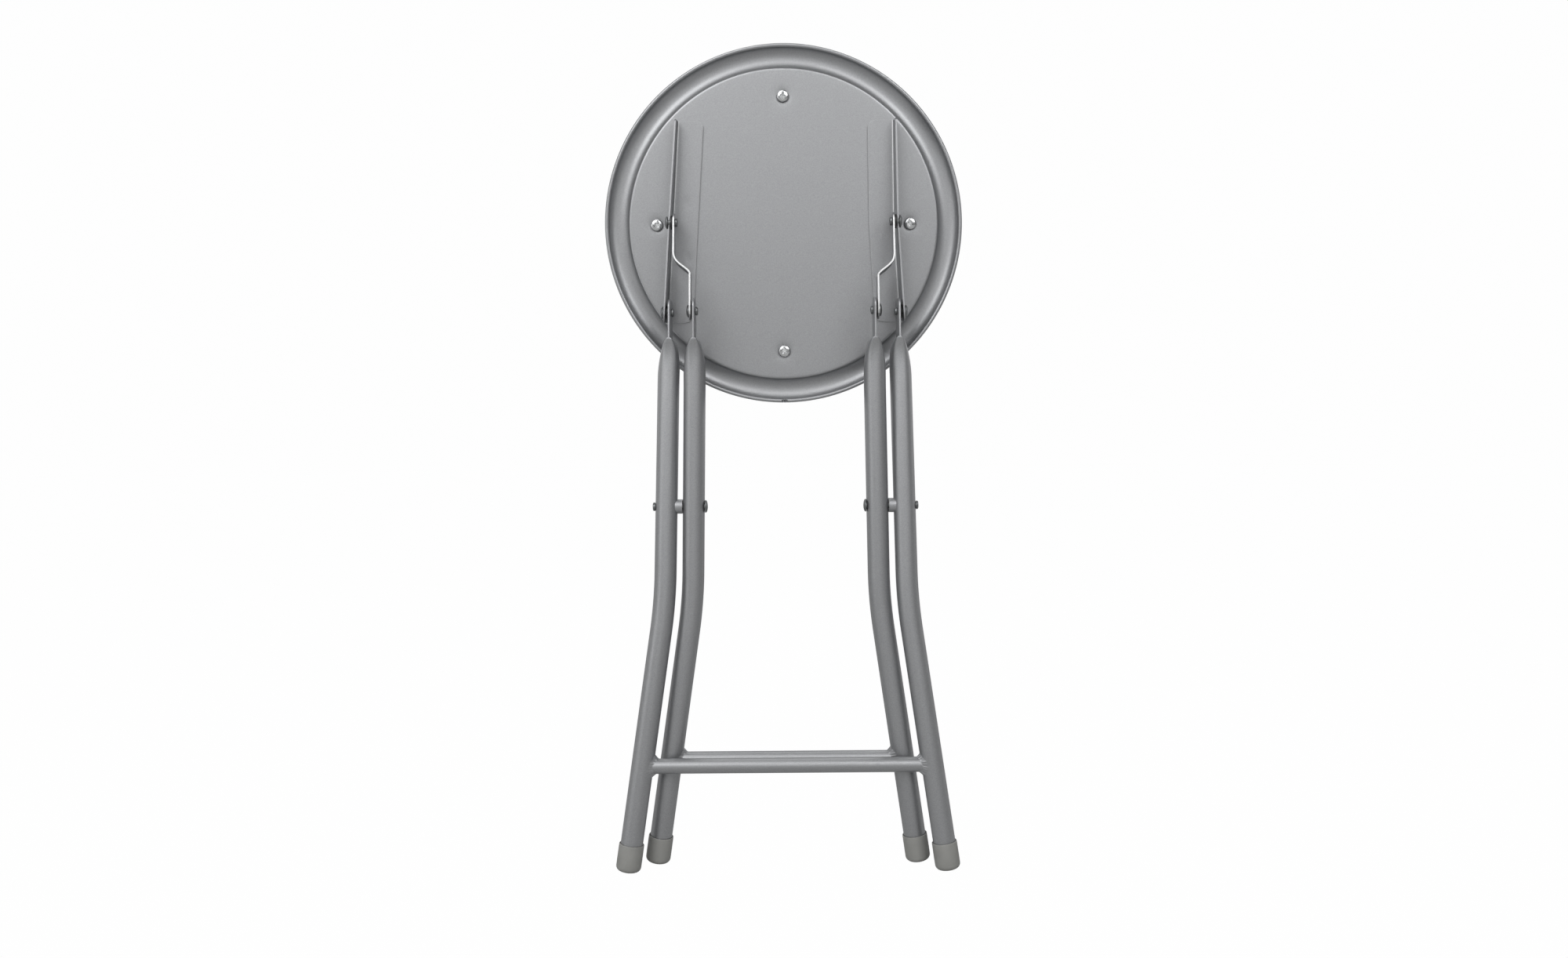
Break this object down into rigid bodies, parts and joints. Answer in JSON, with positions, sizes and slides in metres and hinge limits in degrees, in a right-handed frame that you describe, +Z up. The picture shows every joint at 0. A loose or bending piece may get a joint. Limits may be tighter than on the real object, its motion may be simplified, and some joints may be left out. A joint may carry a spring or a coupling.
{
  "type": "folding stool",
  "caption": "Folding stool, shown folded and upright: round padded seat on a pressed metal pan, hinged by links to a crossed tubular leg frame with plastic foot caps.",
  "frame": {"origin": "on the floor, under the middle of the folded stool's box", "axes": "+Z up from the feet to the seat, +X across the stool along its hinge pins, -Y out of the seat's bare metal underside"},
  "size_m": [0.2996, 0.0754, 0.6772],
  "materials": {
    "silver_powder_coat": "satin silver-grey metallic powder coat",
    "bright_zinc": "bright zinc plate",
    "black_nylon": "moulded nylon washers",
    "grey_plastic": "matte moulded",
    "plywood": "raw",
    "foam": "open-cell foam",
    "black_vinyl": "satin grained vinyl"
  },
  "bodies": {
    "outer_frame": {"outer_crossbar": "silver_powder_coat", "outer_leg_left": "silver_powder_coat", "outer_foot_cap_left": "grey_plastic", "scissor_rivet_left": "bright_zinc", "scissor_spacer_left": "silver_powder_coat", "seat_hinge_rivet_left": "bright_zinc", "seat_hinge_washer_left": "black_nylon", "outer_leg_right": "silver_powder_coat", "outer_foot_cap_right": "grey_plastic", "scissor_rivet_right": "bright_zinc", "scissor_spacer_right": "silver_powder_coat", "seat_hinge_rivet_right": "bright_zinc", "seat_hinge_washer_right": "black_nylon"},
    "inner_frame": {"inner_crossbar": "silver_powder_coat", "inner_leg_left": "silver_powder_coat", "inner_foot_cap_left": "grey_plastic", "inner_leg_rivet_tail_left": "bright_zinc", "inner_leg_right": "silver_powder_coat", "inner_foot_cap_right": "grey_plastic", "inner_leg_rivet_tail_right": "bright_zinc"},
    "seat": {"seat_pan": "silver_powder_coat", "seat_bracket_left": "silver_powder_coat", "seat_bracket_right": "silver_powder_coat", "cushion_board": "plywood", "cushion_foam": "foam", "cushion_cover": "black_vinyl", "cushion_screw_top": "bright_zinc", "cushion_screw_bottom": "bright_zinc", "cushion_screw_left": "bright_zinc", "cushion_screw_right": "bright_zinc"},
    "links": {"link_left": "silver_powder_coat", "link_pivot_rivet_left": "bright_zinc", "link_pivot_washer_left": "black_nylon", "link_leg_rivet_left": "bright_zinc", "link_leg_washer_left": "black_nylon", "link_right": "silver_powder_coat", "link_pivot_rivet_right": "bright_zinc", "link_pivot_washer_right": "black_nylon", "link_leg_rivet_right": "bright_zinc", "link_leg_washer_right": "black_nylon"}
  },
  "joints": [
    {"name": "leg_fold", "type": "hinge", "parent": "outer_frame", "child": "inner_frame", "pos_m": [0, -0.01705, 0.29271], "axis": [1, 0, 0], "range_deg": [0, 50.91]},
    {"name": "seat_tilt", "type": "hinge", "parent": "outer_frame", "child": "seat", "pos_m": [0, -0.01121, 0.4526], "axis": [1, 0, 0], "range_deg": [0, 110.94]},
    {"name": "link_swing", "type": "hinge", "parent": "seat", "child": "links", "pos_m": [0, -0.01705, 0.52637], "axis": [-1, 0, 0], "range_deg": [0, 170.95]}
  ],
  "couplings": [
    {"joint": "seat_tilt", "follows": "leg_fold", "ratio": 2.1788},
    {"joint": "link_swing", "follows": "leg_fold", "ratio": 3.3576}
  ]
}
